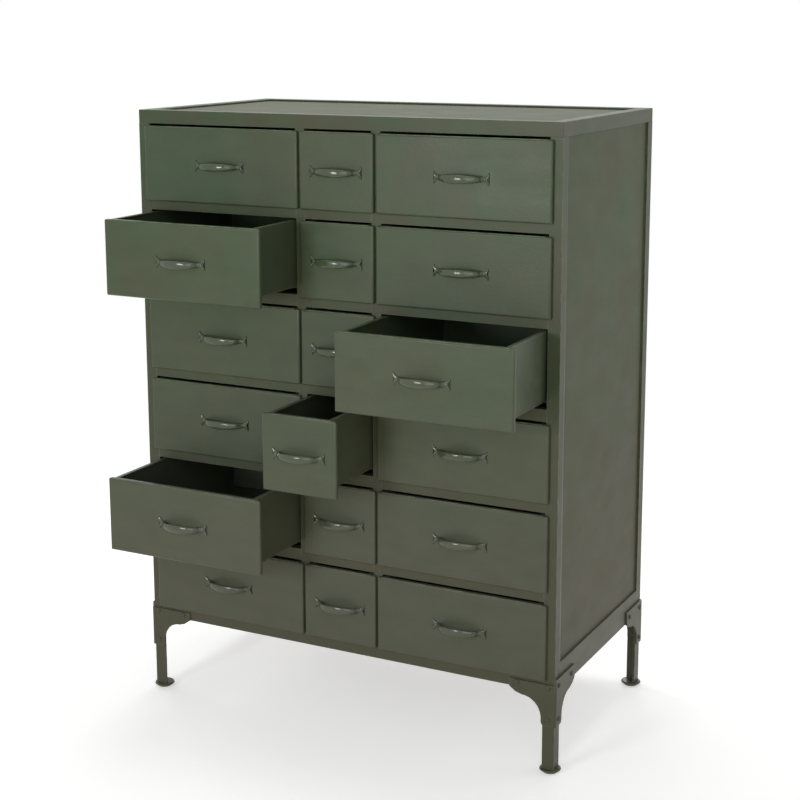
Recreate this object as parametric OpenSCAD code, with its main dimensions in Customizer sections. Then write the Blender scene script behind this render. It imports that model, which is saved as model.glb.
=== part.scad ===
// Steel drawer cabinet on angle-iron legs: six rows and three columns of drawers.
// Millimetres. +X is right, +Y runs from the drawer fronts to the back, +Z is up.
// The pieces are laid out from the cabinet's front left corner on the floor and then moved
// together, so that the origin lies on the floor under the middle of everything that shows.
// Rows are counted from the top and columns from the left.

/* [Cabinet] */
// Width over the corner posts
cabinet_width = 930; // [860:5:1050]
// Depth over the corner posts
cabinet_depth = 490; // [430:5:560]
// Height of the case's underside above the floor
leg_height = 166; // [140:1:200]

/* [Drawer openings] */
// Height of each drawer opening
opening_height = 151.5; // [135:0.5:170]
// Width of the openings in the narrow middle column
narrow_opening = 148; // [136:1:190]
// Width of the uprights between the columns
mullion_width = 20; // [16:1:28]
// Height of the rails between the rows
rail_height = 24; // [20:1:32]
// Depth of the rails between the rows
rail_depth = 18; // [12:1:30]

/* [Angle iron and sheet] */
// Leg width of the corner posts' angle iron
post_width = 25; // [22:0.5:32]
// Thickness of all the angle iron
angle_thickness = 4; // [3:0.5:5]
// Leg width of the top rim's angle iron
rim_width = 27.5; // [22:0.5:35]
// Height of the base rail under the drawers, and width of all base rails' flat legs
base_rail_front = 27.5; // [24:0.5:35]
// Height of the base rails at the sides and the back
base_rail_side = 54; // [40:1:70]
// Thickness of the case's sheets, partitions and rails
panel_sheet = 1.2; // [0.8:0.1:2.5]
// Width of the lips that join the partitions to the back
partition_lip = 12; // [8:1:20]

/* [Drawer fronts] */
// How far the fronts stand out from the frame
front_proud = 8; // [7:0.5:12]
// Air between a closed front's back edge and the frame
front_standoff = 1; // [0.5:0.1:2]
// Thickness of the front's sheet
front_sheet = 1.5; // [1:0.1:2.5]
// Channel between fronts that lie side by side
front_channel = 4; // [3:0.5:6]
// Overlap of a front over the rail below it
front_drop = 5.5; // [3:0.5:8]
// Gap above a front
front_top_gap = 4; // [3:0.5:6]
// Outside radius of the front's folded edges
front_bend = 4.5; // [3:0.5:5]
// Radius of the front's corners, seen from the front
front_corner = 6; // [4:0.5:9]

/* [Drawer boxes] */
// Thickness of the drawer box's sheet
box_sheet = 1; // [0.8:0.1:2]
// Air between the box and each side of its opening
box_side_gap = 4; // [3:0.5:6]
// Height of the box's underside above the rail
box_lift = 14.5; // [10:0.5:20]
// Free space behind a closed box
box_rear_gap = 50; // [20:1:100]
// Width of the flattened hem round the box's mouth
hem_width = 8; // [5:0.5:12]
// Thickness of that hem
hem_thickness = 2; // [1.6:0.2:3]

/* [Runners] */
// Thickness of the runners' steel
runner_thickness = 2; // [1.5:0.1:2.5]
// Width of the shelf that carries the box
runner_shelf = 15; // [10:1:25]
// Height of the runner's upright
runner_upright = 20; // [15:1:30]
// Height of the outer runners' flange on the side sheet
runner_flange = 12; // [8:1:15]
// Play between the box and its shelves
runner_play = 0.3; // [0.2:0.1:0.6]

/* [Open drawers] */
// How far the left drawer of row 2 stands open
open_2_left = 142; // [0:1:200]
// How far the right drawer of row 3 stands open
open_3_right = 164; // [0:1:200]
// How far the middle drawer of row 4 stands open
open_4_middle = 152; // [0:1:200]
// How far the left drawer of row 5 stands open
open_5_left = 158; // [0:1:200]

/* [Handles] */
// Length over both fishtail feet
handle_length = 116; // [112:1:124]
// Thickness of the bow at its middle
bar_thickness = 6.5; // [5:0.5:8]
// Height of the bow at its middle
bar_height = 16; // [13:0.5:20]
// Height of the bow where it is slimmest, above each foot
waist_height = 11; // [8:0.5:12]
// Roundness of the bow's section: 1 is an ellipse, and less is squarer
bar_roundness = 0.9; // [0.6:0.05:1]
// Radius of the long middle arc
crown_radius = 72; // [66:1:80]
// Angle of the middle arc to each side
crown_angle = 24; // [18:1:26]
// Radius of the arcs that turn down towards the front
shoulder_radius = 20; // [16:1:24]
// Steepest angle of the bow
shoulder_angle = 66; // [50:1:75]
// Radius of the arcs that turn out into the feet
instep_radius = 11; // [9:1:14]
// Thickness of the fishtail feet
foot_thickness = 3; // [2:0.5:4]
// Height of the fishtail feet
foot_spread = 24; // [20:1:30]
// Depth of the hollow between the two ears of each foot
notch_depth = 4; // [2:0.5:5]
// Radius to which those ears are rounded
ear_radius = 2.5; // [1.5:0.5:3.5]

/* [Corner brackets] */
// Thickness of the brackets' plate
bracket_thickness = 4; // [3:0.5:6]
// Length of each flange along the case
bracket_reach = 93; // [80:1:110]
// Height of the flange under the drawers above the case's underside
bracket_front_rise = 16; // [12:0.5:20]
// Height of the side flange above the case's underside
bracket_side_rise = 27; // [20:0.5:40]
// Depth of the brackets below the case's underside
bracket_drop = 68; // [60:1:90]
// Width of the strip down each leg
bracket_strip = 27; // [24:0.5:34]
// Radius of the hollow between the leg and the case
bracket_hollow = 40; // [30:1:45]
// Depth of the bracket over that hollow
bracket_brow = 13; // [9:0.5:18]
// Length of the slanting cut at the flange's end
bracket_end_length = 13; // [8:1:18]
// Height of that cut
bracket_end_height = 9; // [5:0.5:9]
// Width of the slanting cut at the strip's lower end
bracket_tip_width = 4; // [2:0.5:8]
// Height of that cut
bracket_tip_height = 6; // [3:0.5:8]

/* [Rivets] */
// Distance of the near rivets from the corner
rivet_near = 12.5; // [11:0.5:16]
// Distance of the far rivets from the corner
rivet_far = 77; // [65:1:80]
// Height of the front's upper rivets above the case's underside
rivet_front_level = 10.5; // [10:0.5:11]
// Height of the side's upper rivets above the case's underside
rivet_side_level = 13; // [11:0.5:16]
// Depth of the lower rivets below the case's underside
rivet_low_level = 55; // [45:1:60]
// Radius of the bracket rivets' shanks
rivet_shank = 2.5; // [2:0.1:3]
// Radius of the bracket rivets' heads
rivet_head = 5; // [3.5:0.1:5.4]
// Height of the bracket rivets' heads
rivet_head_height = 3.2; // [2:0.1:3.8]
// Radius of the handle rivets' shanks
pin_shank = 1.8; // [1.5:0.1:2.2]
// Radius of the handle rivets' heads
pin_head = 3.2; // [2.6:0.1:3.6]
// Height of the handle rivets' heads
pin_head_height = 2; // [1.4:0.1:2.6]
// Distance of the handle rivets from the feet's ends
pin_inset = 8.5; // [8:0.5:9.5]
// Height of the rivets' closed ends
rivet_tail_height = 1.2; // [0.8:0.1:1.4]
// Play of a rivet's shank in its holes
rivet_play = 0.1; // [0.05:0.05:0.2]

/* [Glides] */
// Radius of the round glides under the legs
glide_radius = 21; // [18:0.5:28]
// Radius of the glides' base, from which they widen to their rim
glide_base = 14; // [11:0.5:17]
// Height of the glides
glide_height = 9; // [6:0.5:14]
// Radius of the glides' rounded upper edge
glide_rim = 3; // [1:0.5:4]
// Distance of the glides' centres from the cabinet's sides
glide_inset = 12; // [8:0.5:16]

/* [Hidden] */
$fn = 64;
rows = 6;
columns = 3;
through = 1;
ring_points = 12;

row_pitch = opening_height + rail_height;
case_bottom = leg_height;
openings_bottom = case_bottom + base_rail_front;
openings_top = openings_bottom + rows * row_pitch - rail_height;
case_top = openings_top + rim_width;
sheet_top = case_top - angle_thickness;
wide_opening = (cabinet_width - 2 * post_width - 2 * mullion_width - narrow_opening) / 2;
sheet_inside = angle_thickness + panel_sheet;
floor_sheet_bottom = case_bottom + angle_thickness;

front_overlap = (mullion_width - front_channel) / 2;
front_height = opening_height - front_top_gap + front_drop;
front_depth = front_proud - front_standoff;
box_height = opening_height - front_top_gap - box_lift;
box_start = front_sheet - front_proud;
box_length = cabinet_depth - sheet_inside - box_rear_gap - box_start;

handle_level = front_height / 2 - front_drop;
foot_middle = 0.4 * foot_thickness;
pin_sink = 0.3;
crown_drop = crown_radius * (1 - cos(crown_angle));
shoulder_drop = shoulder_radius * (cos(crown_angle) - cos(shoulder_angle));
instep_drop = instep_radius * (1 - cos(shoulder_angle));
crown_reach = foot_middle + crown_drop + shoulder_drop + instep_drop;
handle_reach = crown_reach + bar_thickness / 2;
crown_centre = [0, crown_reach - crown_radius];
shoulder_centre = crown_centre + (crown_radius - shoulder_radius) * [sin(crown_angle), cos(crown_angle)];
instep_centre = shoulder_centre
    + (shoulder_radius + instep_radius) * [sin(shoulder_angle), cos(shoulder_angle)];
half_length = handle_length / 2;
waist_place = instep_centre[0] - instep_radius / 2;
flare_radius = arc_radius(half_length - waist_place, (foot_spread - waist_height) / 2);
ear_crest = foot_spread / 2 - ear_radius;
pin_place = half_length - pin_inset;
pin_seat = foot_thickness - pin_sink;
pin_grip = pin_seat + front_sheet + box_sheet;

front_rivets = [[rivet_near, rivet_front_level], [rivet_far, rivet_front_level], [rivet_near, -rivet_low_level]];
side_rivets = [[rivet_near, rivet_side_level], [rivet_far, rivet_side_level], [rivet_near, -rivet_low_level]];

// The distances from the frame's front face to the foremost and the rearmost point
reach_front = max(open_2_left, open_3_right, open_4_middle, open_5_left) + front_proud + handle_reach;
reach_back = cabinet_depth + max(bracket_thickness + rivet_head_height, glide_radius - glide_inset);
origin_place = [cabinet_width / 2, (reach_back - reach_front) / 2, 0];

frame_paint = "#6B6A5C";
sheet_paint = "#66655A";
front_paint = "#58604F";
handle_paint = "#5E6353";
glide_paint = "#4A4B42";

function place_name(piece, row, column) = str(piece, "_r", row, "c", column);

// Left edge, width and bottom edge of a drawer's opening
function opening_left(column) =
    column == 1 ? post_width
    : column == 2 ? post_width + wide_opening + mullion_width
    : post_width + wide_opening + narrow_opening + 2 * mullion_width;
function opening_width(column) = column == 2 ? narrow_opening : wide_opening;
function opening_bottom(row) = openings_bottom + (rows - row) * row_pitch;

function pulled_out(row, column) =
    row == 2 && column == 1 ? open_2_left
    : row == 3 && column == 3 ? open_3_right
    : row == 4 && column == 2 ? open_4_middle
    : row == 5 && column == 1 ? open_5_left
    : 0;

// Radius of the arc with this half chord and rise
function arc_radius(half_chord, rise) = (half_chord ^ 2 + rise ^ 2) / (2 * rise);

// An outline in X and Z, run along Y, and one in Y and Z, run along X
module along_y(from, to) translate([0, to, 0]) rotate([90, 0, 0]) linear_extrude(to - from) children();
module along_x(from, to) translate([from, 0, 0]) rotate([90, 0, 90]) linear_extrude(to - from) children();

// What stands at the front left corner, moved to any corner
module at_corner(right, rear) {
    translate([right ? cabinet_width : 0, rear ? cabinet_depth : 0, 0])
        mirror([right ? 1 : 0, 0, 0])
            mirror([0, rear ? 1 : 0, 0])
                children();
}

module angle_section(leg_a, leg_b) {
    square([leg_a, angle_thickness]);
    square([angle_thickness, leg_b]);
}

// Rivet along +Y, with its domed head in front of y = 0 and its closed end behind the grip
module rivet(shank, head, head_height, grip) {
    dome = arc_radius(head, head_height);
    rotate([-90, 0, 0]) {
        intersection() {
            translate([0, 0, dome - head_height]) sphere(dome);
            translate([-head, -head, -head_height]) cube([2 * head, 2 * head, head_height]);
        }
        cylinder(h = grip, r = shank);
        translate([0, 0, grip]) cylinder(h = rivet_tail_height, r = (shank + head) / 2);
    }
}

// The holes of one corner's rivets, through the bracket and all that lies behind it
module rivet_holes() {
    depth = bracket_thickness + sheet_inside + 2 * through;
    radius = rivet_shank + rivet_play;
    for (place = front_rivets)
        translate([place[0], -bracket_thickness - through, case_bottom + place[1]])
            rotate([-90, 0, 0]) cylinder(h = depth, r = radius);
    for (place = side_rivets)
        translate([-bracket_thickness - through, place[0], case_bottom + place[1]])
            rotate([0, 90, 0]) cylinder(h = depth, r = radius);
}

module all_rivet_holes() {
    for (right = [false, true], rear = [false, true]) at_corner(right, rear) rivet_holes();
}

// Top: a welded ring of angle iron, with the sheet close under its flat legs
module top_rim() {
    color(frame_paint) difference() {
        translate([0, 0, openings_top]) cube([cabinet_width, cabinet_depth, rim_width]);
        translate([angle_thickness, angle_thickness, openings_top - through])
            cube([cabinet_width - 2 * angle_thickness, cabinet_depth - 2 * angle_thickness,
                  rim_width - angle_thickness + through]);
        translate([rim_width, rim_width, sheet_top - through])
            cube([cabinet_width - 2 * rim_width, cabinet_depth - 2 * rim_width,
                  angle_thickness + 2 * through]);
    }
}

module top_panel() {
    color(sheet_paint)
        translate([angle_thickness, angle_thickness, sheet_top - panel_sheet])
            cube([cabinet_width - 2 * angle_thickness, cabinet_depth - 2 * angle_thickness, panel_sheet]);
}

// Side and back sheets, welded inside the angle iron
module side_panel(right) {
    color(sheet_paint) difference() {
        translate([right ? cabinet_width - sheet_inside : angle_thickness, angle_thickness, floor_sheet_bottom])
            cube([panel_sheet, cabinet_depth - angle_thickness - sheet_inside,
                  sheet_top - panel_sheet - floor_sheet_bottom]);
        all_rivet_holes();
    }
}

module back_panel() {
    color(sheet_paint) difference() {
        translate([angle_thickness, cabinet_depth - sheet_inside, floor_sheet_bottom])
            cube([cabinet_width - 2 * angle_thickness, panel_sheet,
                  sheet_top - panel_sheet - floor_sheet_bottom]);
        all_rivet_holes();
    }
}

module bottom_panel() {
    color(sheet_paint)
        translate([sheet_inside, angle_thickness, floor_sheet_bottom])
            cube([cabinet_width - 2 * sheet_inside, cabinet_depth - angle_thickness - sheet_inside, panel_sheet]);
}

// Partition between two columns: one sheet folded round its front web, with lips on the back sheet
module partition(column) {
    wall_end = cabinet_depth - sheet_inside;
    color(frame_paint)
        translate([opening_left(column) + opening_width(column), 0, openings_bottom])
            linear_extrude(openings_top - openings_bottom) {
                square([mullion_width, panel_sheet]);
                square([panel_sheet, wall_end]);
                translate([mullion_width - panel_sheet, 0]) square([panel_sheet, wall_end]);
                translate([-partition_lip, wall_end - panel_sheet])
                    square([partition_lip + panel_sheet, panel_sheet]);
                translate([mullion_width - panel_sheet, wall_end - panel_sheet])
                    square([partition_lip + panel_sheet, panel_sheet]);
            }
}

// Rails between the rows: channels that open towards the back, one in each column
module front_rails() {
    color(frame_paint)
        for (row = [2 : rows], column = [1 : columns])
            translate([opening_left(column), 0, opening_bottom(row) + opening_height])
                along_x(0, opening_width(column)) {
                    square([panel_sheet, rail_height]);
                    square([rail_depth, panel_sheet]);
                    translate([0, rail_height - panel_sheet]) square([rail_depth, panel_sheet]);
                }
}

// Base rails between the posts, whose flat legs carry the bottom sheet
module base_rail(height) angle_section(base_rail_front, height);

module base_rails() {
    side_end = cabinet_depth - post_width;
    cope = base_rail_front + through;
    color(frame_paint) difference() {
        translate([0, 0, case_bottom]) {
            along_x(post_width, cabinet_width - post_width) base_rail(base_rail_front);
            translate([0, cabinet_depth, 0]) mirror([0, 1, 0])
                along_x(post_width, cabinet_width - post_width) base_rail(base_rail_side);
            for (right = [false, true])
                at_corner(right, false) difference() {
                    along_y(post_width, side_end) base_rail(base_rail_side);
                    for (end = [post_width - through, cabinet_depth - cope])
                        translate([angle_thickness, end, -through])
                            cube([base_rail_front, cope + through - post_width, angle_thickness + 2 * through]);
                }
        }
        all_rivet_holes();
    }
}

// Runner section at an opening's left edge: a shelf and an upright that guides the box
module inner_runner_section() {
    square([runner_shelf, runner_thickness]);
    square([runner_thickness, runner_upright]);
}

// Beside the posts, the same with a web and a flange that reach out to the side sheet
module outer_runner_section() {
    reach = post_width - sheet_inside;
    inner_runner_section();
    translate([-reach, runner_upright - runner_thickness]) square([reach + runner_thickness, runner_thickness]);
    translate([-reach, runner_upright - runner_flange]) square([runner_thickness, runner_flange]);
}

module runners(column) {
    runner_end = cabinet_depth - sheet_inside - panel_sheet;
    shelf_level = box_lift - runner_play - runner_thickness;
    color(sheet_paint)
        for (row = [1 : rows])
            translate([opening_left(column), 0, opening_bottom(row) + shelf_level]) {
                along_y(angle_thickness, runner_end)
                    if (column == 1) outer_runner_section();
                    else inner_runner_section();
                translate([opening_width(column), 0, 0]) mirror([1, 0, 0])
                    along_y(angle_thickness, runner_end)
                        if (column == columns) outer_runner_section();
                        else inner_runner_section();
            }
}

// Corner post, from its glide to the top rim
module corner_post(right, rear) {
    color(frame_paint) at_corner(right, rear) difference() {
        translate([0, 0, glide_height])
            linear_extrude(openings_top - glide_height) angle_section(post_width, post_width);
        rivet_holes();
    }
}

// One flange of a corner bracket, with the distance from the corner and the level as axes
module bracket_outline(rise) {
    hollow_edge = bracket_strip + bracket_hollow;
    hollow_level = -bracket_brow - bracket_hollow;
    translate([0, case_bottom]) difference() {
        polygon([[0, rise], [bracket_reach, rise], [bracket_reach, 0],
                 [bracket_reach - bracket_end_length, -bracket_end_height],
                 [hollow_edge, -bracket_brow], [hollow_edge, hollow_level], [bracket_strip, hollow_level],
                 [bracket_strip, bracket_tip_height - bracket_drop],
                 [bracket_strip - bracket_tip_width, -bracket_drop], [0, -bracket_drop]]);
        translate([hollow_edge, hollow_level]) circle(bracket_hollow);
    }
}

// Corner bracket: one plate folded round the leg
module corner_bracket(right, rear) {
    color(frame_paint) at_corner(right, rear) difference() {
        union() {
            along_y(-bracket_thickness, 0) bracket_outline(bracket_front_rise);
            along_x(-bracket_thickness, 0) bracket_outline(bracket_side_rise);
            translate([0, 0, case_bottom - bracket_drop])
                linear_extrude(bracket_drop + bracket_front_rise) intersection() {
                    circle(bracket_thickness);
                    translate([-bracket_thickness, -bracket_thickness]) square(bracket_thickness);
                }
        }
        rivet_holes();
    }
}

module corner_rivets(rear) {
    frame_grip = bracket_thickness + angle_thickness;
    for (place = front_rivets)
        translate([place[0], -bracket_thickness, case_bottom + place[1]])
            rivet(rivet_shank, rivet_head, rivet_head_height,
                  frame_grip + (rear && place[1] > 0 ? panel_sheet : 0));
    for (place = side_rivets)
        translate([-bracket_thickness, place[0], case_bottom + place[1]])
            rotate([0, 0, -90])
                rivet(rivet_shank, rivet_head, rivet_head_height,
                      frame_grip + (place[1] > 0 ? panel_sheet : 0));
}

module bracket_rivets() {
    color(frame_paint)
        for (right = [false, true], rear = [false, true]) at_corner(right, rear) corner_rivets(rear);
}

// Round glides: pressed saucers that widen from a flat base to a rounded upper edge
module feet() {
    rim_level = glide_height - glide_rim;
    color(glide_paint)
        for (right = [false, true], rear = [false, true])
            at_corner(right, rear) translate([glide_inset, glide_inset, 0]) rotate_extrude() {
                polygon([[0, 0], [glide_base, 0], [glide_radius, rim_level],
                         [glide_radius - glide_rim, glide_height], [0, glide_height]]);
                translate([glide_radius - glide_rim, rim_level]) intersection() {
                    circle(glide_rim);
                    square(glide_rim);
                }
            }
}

// Strip of this depth with its two front corners rounded, as a sheet folded back at both ends
module folded_strip(width, depth, bend) {
    translate([bend, 0]) square([width - 2 * bend, depth]);
    translate([0, bend]) square([width, depth - bend]);
    for (place = [bend, width - bend]) translate([place, bend]) circle(bend);
}

module rounded_panel(width, height, corner) {
    translate([corner, 0]) square([width - 2 * corner, height]);
    translate([0, corner]) square([width, height - 2 * corner]);
    for (x = [corner, width - corner], z = [corner, height - corner]) translate([x, z]) circle(corner);
}

// Shallow block with all four front edges bent round and its corners rounded
module pillow(width, height, depth, bend, corner) {
    intersection() {
        linear_extrude(height) folded_strip(width, depth, bend);
        along_x(0, width) mirror([1, -1]) folded_strip(height, depth, bend);
        along_y(0, depth) rounded_panel(width, height, corner);
    }
}

// Drawer front: a pan of folded sheet, hollow at the back
module front_pan(width) {
    difference() {
        pillow(width, front_height, front_depth, front_bend, front_corner);
        translate([front_sheet, front_sheet, front_sheet])
            pillow(width - 2 * front_sheet, front_height - 2 * front_sheet, front_depth,
                   front_bend - front_sheet, front_corner - front_sheet);
    }
}

// Drawer box: bottom and four walls of thin sheet, with a flattened hem round the mouth
module drawer_box(width) {
    difference() {
        cube([width, box_length, box_height]);
        translate([box_sheet, box_sheet, box_sheet])
            cube([width - 2 * box_sheet, box_length - 2 * box_sheet, box_height - box_sheet - hem_thickness]);
        translate([hem_width, hem_width, box_height - hem_thickness - through])
            cube([width - 2 * hem_width, box_length - 2 * hem_width, hem_thickness + 2 * through]);
    }
}

module at_opening(row, column) {
    translate([opening_left(column), -pulled_out(row, column), opening_bottom(row)]) children();
}

// The two places of a handle's rivets, on the drawer front's face
module at_pins(width) {
    for (side = [-1, 1]) translate([width / 2 + side * pin_place, -front_proud, handle_level]) children();
}

module drawer(row, column) {
    width = opening_width(column);
    color(front_paint) at_opening(row, column) difference() {
        union() {
            translate([-front_overlap, -front_proud, -front_drop]) front_pan(width + 2 * front_overlap);
            translate([box_side_gap, box_start, box_lift]) drawer_box(width - 2 * box_side_gap);
        }
        at_pins(width)
            translate([0, -through, 0]) rotate([-90, 0, 0])
                cylinder(h = front_sheet + box_sheet + 2 * through, r = pin_shank + rivet_play);
    }
}

// Points of the bow's middle line on an arc, as the distance from the handle's middle, the
// distance from the drawer front and the angle that the bow has turned towards the front
function arc_path(centre, radius, from, to, steps) =
    [for (i = [1 : steps]) let (turn = from + (to - from) * i / steps)
        [centre[0] + radius * sin(turn), centre[1] + radius * cos(turn), turn]];

// Middle line of the bow's right half: crown, shoulder, instep and flat foot
half_path = concat(
    [[0, crown_reach, 0]],
    arc_path(crown_centre, crown_radius, 0, crown_angle, 3),
    arc_path(shoulder_centre, shoulder_radius, crown_angle, shoulder_angle, 3),
    arc_path(instep_centre, -instep_radius, shoulder_angle, 0, 4),
    [for (share = [0.5, 1]) [instep_centre[0] + share * (half_length - instep_centre[0]), foot_middle, 0]]);
bow_path = concat(
    [for (i = [len(half_path) - 1 : -1 : 1]) [-half_path[i][0], half_path[i][1], -half_path[i][2]]],
    half_path);

// Half the bow's height: it slims from the middle to each waist, then flares to the foot's ears
function half_height(place) =
    abs(place) < waist_place
    ? bar_height / 2 - (bar_height - waist_height) / 2 * (place / waist_place) ^ 2
    : waist_height / 2 + flare_radius - sqrt(flare_radius ^ 2 - (abs(place) - waist_place) ^ 2);

// Half the bow's thickness: it thins along the instep, from the waist to the flat foot
function half_thickness(place) =
    let (thinned = max(0, min(1, (abs(place) - waist_place) / (instep_centre[0] - waist_place))))
    bar_thickness / 2 + (foot_thickness - foot_middle - bar_thickness / 2) * thinned;

function rounded(value) = sign(value) * abs(value) ^ bar_roundness;

// How far the foot's end lies back at this height: a smooth hollow between the two ears' crests,
// and a quarter circle from each crest to the ear's tip
function end_setback(height) =
    height < ear_crest
    ? notch_depth * (1 + cos(180 * height / ear_crest)) / 2
    : ear_radius - sqrt(max(0, ear_radius ^ 2 - (height - ear_crest) ^ 2));

// Section of the bow at one point of its middle line, flattened where it lies on the front and
// set back towards the foot's end
function bow_ring(station) =
    let (half = half_height(station[0]),
         flare = max(0, abs(station[0]) - waist_place) / (half_length - waist_place))
    [for (k = [0 : ring_points - 1])
        let (around = 360 * k / ring_points,
             out = rounded(cos(around)) * half_thickness(station[0]),
             share = rounded(sin(around)),
             setback = sign(station[0]) * flare ^ 2 * end_setback(abs(share) * foot_spread / 2))
        [station[0] + out * sin(station[2]) - setback, -max(0, station[1] + out * cos(station[2])),
         share * half]];

// Cast bow handle on the plane y = 0, lofted through its sections
module bow_handle() {
    last = len(bow_path) - 1;
    end_middle = [half_length - notch_depth, -foot_middle, 0];
    points = concat([for (station = bow_path) each bow_ring(station)],
                    [[-end_middle[0], end_middle[1], 0], end_middle]);
    left_middle = len(points) - 2;
    right_middle = len(points) - 1;
    corners = [for (k = [0 : ring_points - 1]) [k, (k + 1) % ring_points]];
    polyhedron(points, concat(
        [for (i = [0 : last - 1], pair = corners)
            let (here = i * ring_points, there = here + ring_points)
            each [[here + pair[0], here + pair[1], there + pair[1]],
                  [here + pair[0], there + pair[1], there + pair[0]]]],
        [for (pair = corners) [left_middle, pair[1], pair[0]]],
        [for (pair = corners) [right_middle, last * ring_points + pair[0], last * ring_points + pair[1]]]));
}

module handle(row, column) {
    width = opening_width(column);
    color(handle_paint) at_opening(row, column) {
        translate([width / 2, -front_proud, handle_level]) bow_handle();
        at_pins(width) translate([0, -pin_seat, 0]) rivet(pin_shank, pin_head, pin_head_height, pin_grip);
    }
}

// Moves the laid-out pieces to the part's origin
module in_place() translate(-origin_place) children();

in_place() top_rim();
in_place() top_panel();
in_place() side_panel(false);  // side_panel_left
in_place() side_panel(true);  // side_panel_right
in_place() back_panel();
in_place() bottom_panel();
in_place() partition(1);  // partition_left
in_place() partition(2);  // partition_right
in_place() front_rails();
in_place() base_rails();
in_place() runners(1);  // runners_left
in_place() runners(2);  // runners_middle
in_place() runners(3);  // runners_right
in_place() corner_post(false, false);  // corner_post_fl
in_place() corner_post(true, false);  // corner_post_fr
in_place() corner_post(false, true);  // corner_post_rl
in_place() corner_post(true, true);  // corner_post_rr
in_place() corner_bracket(false, false);  // corner_bracket_fl
in_place() corner_bracket(true, false);  // corner_bracket_fr
in_place() corner_bracket(false, true);  // corner_bracket_rl
in_place() corner_bracket(true, true);  // corner_bracket_rr
in_place() bracket_rivets();
in_place() feet();
for (row = [1 : rows], column = [1 : columns]) {
    in_place() drawer(row, column);
    in_place() handle(row, column);
}
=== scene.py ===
import math

import bmesh
import bpy
from mathutils import Matrix, Vector


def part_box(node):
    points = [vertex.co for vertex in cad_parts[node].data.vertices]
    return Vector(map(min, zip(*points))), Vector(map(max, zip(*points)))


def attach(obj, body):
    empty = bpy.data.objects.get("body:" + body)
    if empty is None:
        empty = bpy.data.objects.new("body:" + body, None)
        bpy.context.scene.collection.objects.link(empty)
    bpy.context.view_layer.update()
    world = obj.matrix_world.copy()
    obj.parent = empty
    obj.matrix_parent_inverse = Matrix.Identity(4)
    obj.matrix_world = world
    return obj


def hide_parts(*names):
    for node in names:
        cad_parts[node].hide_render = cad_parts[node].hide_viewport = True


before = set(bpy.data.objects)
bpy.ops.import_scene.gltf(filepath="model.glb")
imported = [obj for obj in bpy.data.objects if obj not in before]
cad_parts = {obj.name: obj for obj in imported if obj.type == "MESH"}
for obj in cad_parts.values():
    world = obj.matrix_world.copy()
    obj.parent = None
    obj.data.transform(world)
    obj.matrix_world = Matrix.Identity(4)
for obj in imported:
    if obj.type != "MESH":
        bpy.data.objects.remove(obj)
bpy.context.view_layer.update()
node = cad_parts

# Studio: the cabinet stands on pale paper that runs into a white wall. A soft lamp before it and a
# wide one beside the camera light its front as plainly as a catalogue picture. Four more light its
# right, its left, its back and its top.
bpy.context.scene.view_settings.view_transform = "Standard"


def srgb(code):
    """A hex colour as linear red, green, blue and alpha."""
    parts = [int(code[i:i + 2], 16) / 255 for i in (1, 3, 5)]
    return [v / 12.92 if v <= 0.04045 else ((v + 0.055) / 1.055) ** 2.4 for v in parts] + [1.0]


def add_node(tree, kind, inputs=(), **settings):
    """A node of this kind. Each input is given a value, or another node's output to link to."""
    made = tree.nodes.new(kind)
    for name, value in settings.items():
        setattr(made, name, value)
    for name, value in dict(inputs).items():
        if isinstance(value, bpy.types.NodeSocket):
            tree.links.new(value, made.inputs[name])
        else:
            made.inputs[name].default_value = value
    return made


def add_object(name, data):
    made = bpy.data.objects.new(name, data)
    bpy.context.scene.collection.objects.link(made)
    return made


def seen_directly(tree):
    """1 for what the camera sees, reflected or through glass too, and 0 for the light given off."""
    rays = add_node(tree, "ShaderNodeLightPath").outputs
    seen = add_node(tree, "ShaderNodeMath",
                    {0: rays["Is Camera Ray"], 1: rays["Is Glossy Ray"]}, operation="MAXIMUM")
    seen = add_node(tree, "ShaderNodeMath",
                    {0: seen.outputs[0], 1: rays["Is Transmission Ray"]}, operation="MAXIMUM")
    return seen.outputs[0]


# White paper: matt, brightened where it is seen so that it runs into the white wall. It is plain
# paper near the cabinet, where the soft shadow lies, and white further out. What it throws back on
# the cabinet is a little warm, as from a wooden floor.
floor_reach, shadow_reach, white_from, paper_lift, wall_light = 7.0, 1.3, 2.3, 0.42, 0.26
paper = bpy.data.materials.new("white_paper")
paper.use_nodes = True
tree = paper.node_tree
tree.nodes.clear()
seen = seen_directly(tree)
from_middle = add_node(tree, "ShaderNodeVectorMath",
                       {0: add_node(tree, "ShaderNodeTexCoord").outputs["Object"]},
                       operation="LENGTH")
far_off = add_node(tree, "ShaderNodeMapRange", {
    "Value": from_middle.outputs["Value"], "From Min": shadow_reach, "From Max": white_from},
    interpolation_type="SMOOTHSTEP")
far_seen = add_node(tree, "ShaderNodeMath", {0: far_off.outputs[0], 1: seen},
                    operation="MULTIPLY")
lift = add_node(tree, "ShaderNodeMath", {0: seen, 1: paper_lift}, operation="MULTIPLY")
paper_colour = add_node(tree, "ShaderNodeMix", {0: seen, 6: srgb("#DABF94"), 7: srgb("#F4F4F2")},
                        data_type="RGBA")
near_paper = add_node(tree, "ShaderNodeAddShader", {
    0: add_node(tree, "ShaderNodeBsdfDiffuse", {"Color": paper_colour.outputs[2]}).outputs[0],
    1: add_node(tree, "ShaderNodeEmission", {"Strength": lift.outputs[0]}).outputs[0]})
all_paper = add_node(tree, "ShaderNodeMixShader", {
    0: far_seen.outputs[0], 1: near_paper.outputs[0],
    2: add_node(tree, "ShaderNodeEmission", {"Strength": 1.0}).outputs[0]})
add_node(tree, "ShaderNodeOutputMaterial", {"Surface": all_paper.outputs[0]})

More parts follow.
